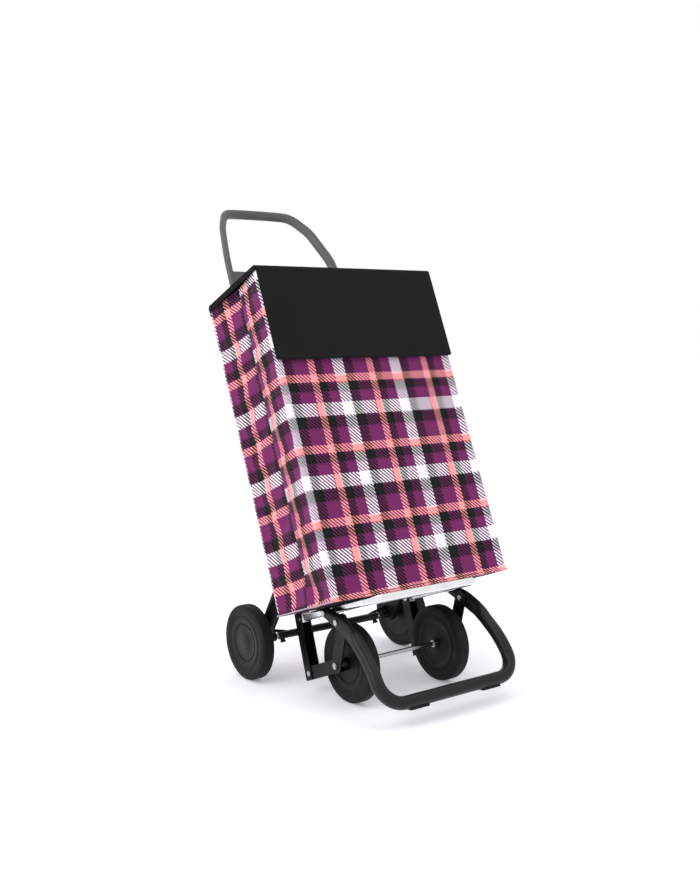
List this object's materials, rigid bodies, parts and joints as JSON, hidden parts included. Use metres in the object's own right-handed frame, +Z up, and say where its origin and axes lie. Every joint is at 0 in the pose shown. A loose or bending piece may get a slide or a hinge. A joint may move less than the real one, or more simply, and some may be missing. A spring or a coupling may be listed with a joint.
{
  "type": "shopping trolley",
  "caption": "Leaning shopping trolley on wheels with a lidded fabric bag, an arched handle, a foot loop and a folding rear wheel carriage.",
  "frame": {"origin": "on the ground, under the middle of the whole bounding box", "axes": "+Z up, -Y ahead, +X to the right of a person looking at the front of the bag"},
  "size_m": [0.4154, 0.6814, 0.9258],
  "materials": {
    "tartan_fabric": "woven check",
    "lid_fabric": "matte coated weave",
    "webbing": "woven tape",
    "board": "matte",
    "grey_plastic": "satin",
    "black_plastic": "satin",
    "wheel_plastic": "matte",
    "tyre": "matte",
    "black_rubber": "matte",
    "black_steel": "satin powder coat",
    "aluminium": "satin anodised",
    "bright_steel": "zinc plated"
  },
  "bodies": {
    "frame": {"bag_back_panel": "tartan_fabric", "bag_base_board": "board", "bag_front_panel": "tartan_fabric", "bag_hanging_straps": "webbing", "carriage_pivot_pins": "bright_steel", "foot_loop": "black_steel", "foot_pads": "black_rubber", "frame_rivets": "bright_steel", "front_axle": "bright_steel", "front_axle_collars": "bright_steel", "front_axle_nuts": "bright_steel", "handle_arch": "grey_plastic", "handle_bridge": "grey_plastic", "left_bag_side": "tartan_fabric", "left_lower_channel": "black_steel", "left_pivot_block": "black_plastic", "left_rail": "aluminium", "left_snap_clip": "black_plastic", "left_stay_plate": "black_steel", "left_upright_channel": "black_steel", "loop_spacers": "bright_steel", "platform_bar": "aluminium", "platform_brace": "aluminium", "right_bag_side": "tartan_fabric", "right_lower_channel": "black_steel", "right_pivot_block": "black_plastic", "right_rail": "aluminium", "right_snap_clip": "black_plastic", "right_stay_plate": "black_steel", "right_upright_channel": "black_steel"},
    "front_left_wheel": {"front_left_tyre": "tyre", "front_left_hub": "wheel_plastic", "front_left_cap": "wheel_plastic"},
    "front_right_wheel": {"front_right_tyre": "tyre", "front_right_hub": "wheel_plastic", "front_right_cap": "wheel_plastic"},
    "rear_left_wheel": {"rear_left_tyre": "tyre", "rear_left_hub": "wheel_plastic", "rear_left_cap": "wheel_plastic"},
    "rear_right_wheel": {"rear_right_tyre": "tyre", "rear_right_hub": "wheel_plastic", "rear_right_cap": "wheel_plastic"},
    "rear_carriage": {"left_rear_arm": "black_plastic", "right_rear_arm": "black_plastic", "rear_cross_tube": "black_steel", "rear_stub_axles": "bright_steel", "rear_axle_clips": "bright_steel", "rear_axle_sleeves": "black_rubber"},
    "left_button": {"left_release_button": "black_plastic"},
    "right_button": {"right_release_button": "black_plastic"},
    "lid": {"lid_panel": "lid_fabric", "lid_piping": "webbing"},
    "flap": {"lid_flap": "lid_fabric", "flap_hem": "webbing"}
  },
  "joints": [
    {"name": "front_left_wheel_spin", "type": "hinge", "parent": "frame", "child": "front_left_wheel", "pos_m": [0, -0.16913, 0.0725], "axis": [1, 0, 0], "continuous": true},
    {"name": "front_right_wheel_spin", "type": "hinge", "parent": "frame", "child": "front_right_wheel", "pos_m": [0, -0.16913, 0.0725], "axis": [1, 0, 0], "continuous": true},
    {"name": "rear_left_wheel_spin", "type": "hinge", "parent": "rear_carriage", "child": "rear_left_wheel", "pos_m": [0, 0.05173, 0.0725], "axis": [1, 0, 0], "continuous": true},
    {"name": "rear_right_wheel_spin", "type": "hinge", "parent": "rear_carriage", "child": "rear_right_wheel", "pos_m": [0, 0.05173, 0.0725], "axis": [1, 0, 0], "continuous": true},
    {"name": "carriage_fold", "type": "hinge", "parent": "frame", "child": "rear_carriage", "pos_m": [0, -0.0222, 0.19448], "axis": [1, 0, 0], "range_deg": [0, 105]},
    {"name": "left_button_press", "type": "slide", "parent": "rear_carriage", "child": "left_button", "axis": [0, 0.3939, 0.9191], "range_m": [0, 0.003], "stiffness_N_per_m": 400, "springref_m": -0.001},
    {"name": "right_button_press", "type": "slide", "parent": "rear_carriage", "child": "right_button", "axis": [0, 0.3939, 0.9191], "range_m": [0, 0.003], "stiffness_N_per_m": 400, "springref_m": -0.001},
    {"name": "lid_open", "type": "hinge", "parent": "frame", "child": "lid", "pos_m": [0, 0.16813, 0.71728], "axis": [-1, 0, 0], "range_deg": [0, 88]},
    {"name": "flap_lift", "type": "hinge", "parent": "lid", "child": "flap", "pos_m": [0, -0.00822, 0.79068], "axis": [-1, 0, 0], "range_deg": [0, 95]}
  ]
}
